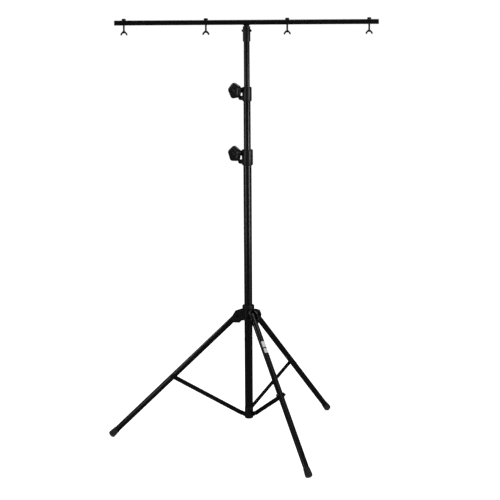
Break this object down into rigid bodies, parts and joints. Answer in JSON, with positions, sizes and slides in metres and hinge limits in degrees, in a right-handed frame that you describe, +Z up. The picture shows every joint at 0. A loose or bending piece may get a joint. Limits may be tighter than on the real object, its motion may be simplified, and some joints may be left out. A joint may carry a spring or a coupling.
{
  "type": "lighting stand",
  "caption": "Tripod lighting stand with folding braced legs, a telescoping mast held by star-knob clamps, and a square T-bar with hanging bolts and wing nuts.",
  "frame": {"origin": "the mast axis at floor level", "axes": "+Z up the mast, +X along the T-bar, -Y towards the side that the clamp knobs face"},
  "size_m": [1.1668, 1.0689, 1.8264],
  "materials": {
    "tube_coat": "satin black powder coat on steel tube",
    "brace_coat": "satin black powder coat on flat steel",
    "casting_coat": "fine textured black coat on a casting",
    "collar_plastic": "satin moulded black plastic",
    "knob_plastic": "satin moulded black plastic",
    "nylon": "black nylon",
    "foot_rubber": "matte black rubber",
    "black_steel": "black oxide on steel"
  },
  "bodies": {
    "stand": {"mast_lower_tube": "tube_coat", "base_collar": "casting_coat", "base_bolts": "black_steel", "lower_clamp_collar": "collar_plastic", "lower_clamp_liner": "nylon", "lower_clamp_nut": "black_steel", "lower_pinch_screw": "black_steel"},
    "middle_carrier": {"middle_glide": "nylon"},
    "middle_mast": {"mast_middle_tube": "tube_coat", "upper_clamp_collar": "collar_plastic", "upper_clamp_liner": "nylon", "upper_clamp_nut": "black_steel", "upper_pinch_screw": "black_steel"},
    "upper_carrier": {"upper_glide": "nylon"},
    "head": {"mast_upper_tube": "tube_coat", "tbar_adapter": "casting_coat", "adapter_bolt": "black_steel", "adapter_nut": "black_steel", "tbar_tube": "tube_coat", "tbar_left_cap": "knob_plastic", "tbar_right_cap": "knob_plastic", "hang_bolts": "black_steel", "hang_washers": "black_steel"},
    "lower_knob": {"lower_clamp_knob": "knob_plastic", "lower_clamp_screw": "black_steel"},
    "upper_knob": {"upper_clamp_knob": "knob_plastic", "upper_clamp_screw": "black_steel"},
    "hub": {"hub_casting": "casting_coat", "hub_bush": "nylon", "hub_pivot_bolts": "black_steel", "hub_pivot_nuts": "black_steel"},
    "hub_knob": {"hub_lock_knob": "knob_plastic", "hub_lock_screw": "black_steel"},
    "wing_nut_1": {"wing_nut_1": "black_steel"},
    "wing_nut_2": {"wing_nut_2": "black_steel"},
    "wing_nut_3": {"wing_nut_3": "black_steel"},
    "wing_nut_4": {"wing_nut_4": "black_steel"},
    "left_leg": {"left_leg_tube": "tube_coat", "left_leg_plug": "knob_plastic", "left_foot_cap": "foot_rubber", "left_leg_bolt": "black_steel"},
    "left_brace_bar": {"left_brace": "brace_coat", "left_brace_nut": "black_steel"},
    "front_leg": {"front_leg_tube": "tube_coat", "front_leg_plug": "knob_plastic", "front_foot_cap": "foot_rubber", "front_leg_bolt": "black_steel"},
    "front_brace_bar": {"front_brace": "brace_coat", "front_brace_nut": "black_steel"},
    "right_leg": {"right_leg_tube": "tube_coat", "right_leg_plug": "knob_plastic", "right_foot_cap": "foot_rubber", "right_leg_bolt": "black_steel"},
    "right_brace_bar": {"right_brace": "brace_coat", "right_brace_nut": "black_steel"}
  },
  "joints": [
    {"name": "middle_slide", "type": "slide", "parent": "stand", "child": "middle_carrier", "axis": [0, 0, 1], "range_m": [-0.196, 0.6]},
    {"name": "middle_turn", "type": "hinge", "parent": "middle_carrier", "child": "middle_mast", "pos_m": [0, 0, 0.47], "axis": [0, 0, 1], "continuous": true},
    {"name": "upper_slide", "type": "slide", "parent": "middle_mast", "child": "upper_carrier", "axis": [0, 0, 1], "range_m": [-0.184, 0.65]},
    {"name": "upper_turn", "type": "hinge", "parent": "upper_carrier", "child": "head", "pos_m": [0, 0, 0.68], "axis": [0, 0, 1], "continuous": true},
    {"name": "lower_knob_turn", "type": "hinge", "parent": "stand", "child": "lower_knob", "pos_m": [-0.02943, 0.02443, 1.2563], "axis": [-0.6388, -0.7694, 0], "range_deg": [0, 720]},
    {"name": "upper_knob_turn", "type": "hinge", "parent": "middle_mast", "child": "upper_knob", "pos_m": [-0.02654, 0.02204, 1.523], "axis": [-0.6388, -0.7694, 0], "range_deg": [0, 720]},
    {"name": "hub_slide", "type": "slide", "parent": "stand", "child": "hub", "axis": [0, 0, 1], "range_m": [0, 0.29944]},
    {"name": "hub_knob_turn", "type": "hinge", "parent": "hub", "child": "hub_knob", "pos_m": [-0.01196, 0.02751, 0.558], "axis": [-0.3987, 0.9171, 0], "range_deg": [0, 720]},
    {"name": "wing_nut_1_travel", "type": "slide", "parent": "head", "child": "wing_nut_1", "axis": [0, 0, 1], "range_m": [0, 0.022]},
    {"name": "wing_nut_2_travel", "type": "slide", "parent": "head", "child": "wing_nut_2", "axis": [0, 0, 1], "range_m": [0, 0.022]},
    {"name": "wing_nut_3_travel", "type": "slide", "parent": "head", "child": "wing_nut_3", "axis": [0, 0, 1], "range_m": [0, 0.022]},
    {"name": "wing_nut_4_travel", "type": "slide", "parent": "head", "child": "wing_nut_4", "axis": [0, 0, 1], "range_m": [0, 0.022]},
    {"name": "left_leg_fold", "type": "hinge", "parent": "hub", "child": "left_leg", "pos_m": [-0.04769, 0.00543, 0.557], "axis": [-0.1132, -0.9936, 0], "range_deg": [-0.5, 44.64]},
    {"name": "left_brace_fold", "type": "hinge", "parent": "stand", "child": "left_brace_bar", "pos_m": [-0.02981, 0.0034, 0.1286], "axis": [0.1132, 0.9936, 0], "range_deg": [-0.5, 58.48]},
    {"name": "front_leg_fold", "type": "hinge", "parent": "hub", "child": "front_leg", "pos_m": [0.01914, -0.04402, 0.557], "axis": [0.9171, 0.3987, 0], "range_deg": [-0.5, 44.64]},
    {"name": "front_brace_fold", "type": "hinge", "parent": "stand", "child": "front_brace_bar", "pos_m": [0.01196, -0.02751, 0.1286], "axis": [-0.9171, -0.3987, 0], "range_deg": [-0.5, 58.48]},
    {"name": "right_leg_fold", "type": "hinge", "parent": "hub", "child": "right_leg", "pos_m": [0.02855, 0.03859, 0.557], "axis": [-0.8039, 0.5948, 0], "range_deg": [-0.5, 44.64]},
    {"name": "right_brace_fold", "type": "hinge", "parent": "stand", "child": "right_brace_bar", "pos_m": [0.01784, 0.02412, 0.1286], "axis": [0.8039, -0.5948, 0], "range_deg": [-0.5, 58.48]}
  ],
  "couplings": [
    {"joint": "left_leg_fold", "follows": "hub_slide", "rad_per_m": 2.573},
    {"joint": "left_brace_fold", "follows": "hub_slide", "rad_per_m": 3.3792},
    {"joint": "front_leg_fold", "follows": "hub_slide", "rad_per_m": 2.573},
    {"joint": "front_brace_fold", "follows": "hub_slide", "rad_per_m": 3.3792},
    {"joint": "right_leg_fold", "follows": "hub_slide", "rad_per_m": 2.573},
    {"joint": "right_brace_fold", "follows": "hub_slide", "rad_per_m": 3.3792}
  ]
}
